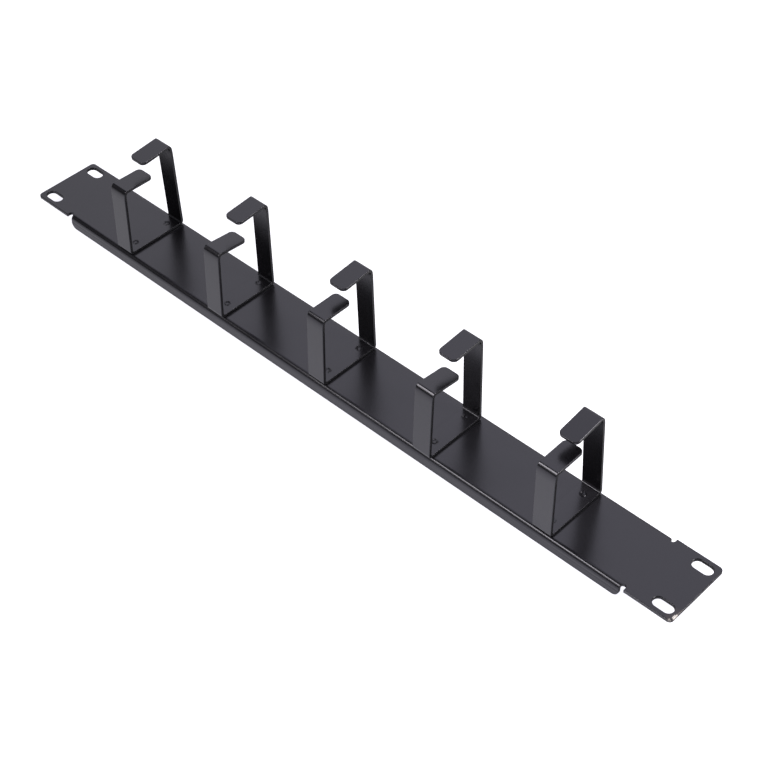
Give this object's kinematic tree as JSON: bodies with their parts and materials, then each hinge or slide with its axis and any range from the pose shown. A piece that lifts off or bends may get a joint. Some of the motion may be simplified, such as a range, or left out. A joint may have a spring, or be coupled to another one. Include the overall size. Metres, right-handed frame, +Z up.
{
  "type": "rack cable organizer",
  "caption": "Flat one-unit rack panel with folded long edges and a row of open rectangular strap rings that hold patch cables along its face.",
  "frame": {"origin": "on the plane that the flanges' edges stand on, under the middle of the panel", "axes": "+X along the panel, +Y from the low front arms of the rings towards the high rear arms, +Z up from the flanges to the rings"},
  "size_m": [0.4826, 0.0445, 0.0678],
  "materials": {
    "panel_coat": "satin black powder coat on mild steel sheet",
    "ring_coat": "satin black powder coat on mild steel strap"
  },
  "bodies": {
    "root": {"panel": "panel_coat", "ring_1": "ring_coat", "ring_2": "ring_coat", "ring_3": "ring_coat", "ring_4": "ring_coat", "ring_5": "ring_coat"}
  },
  "joints": []
}
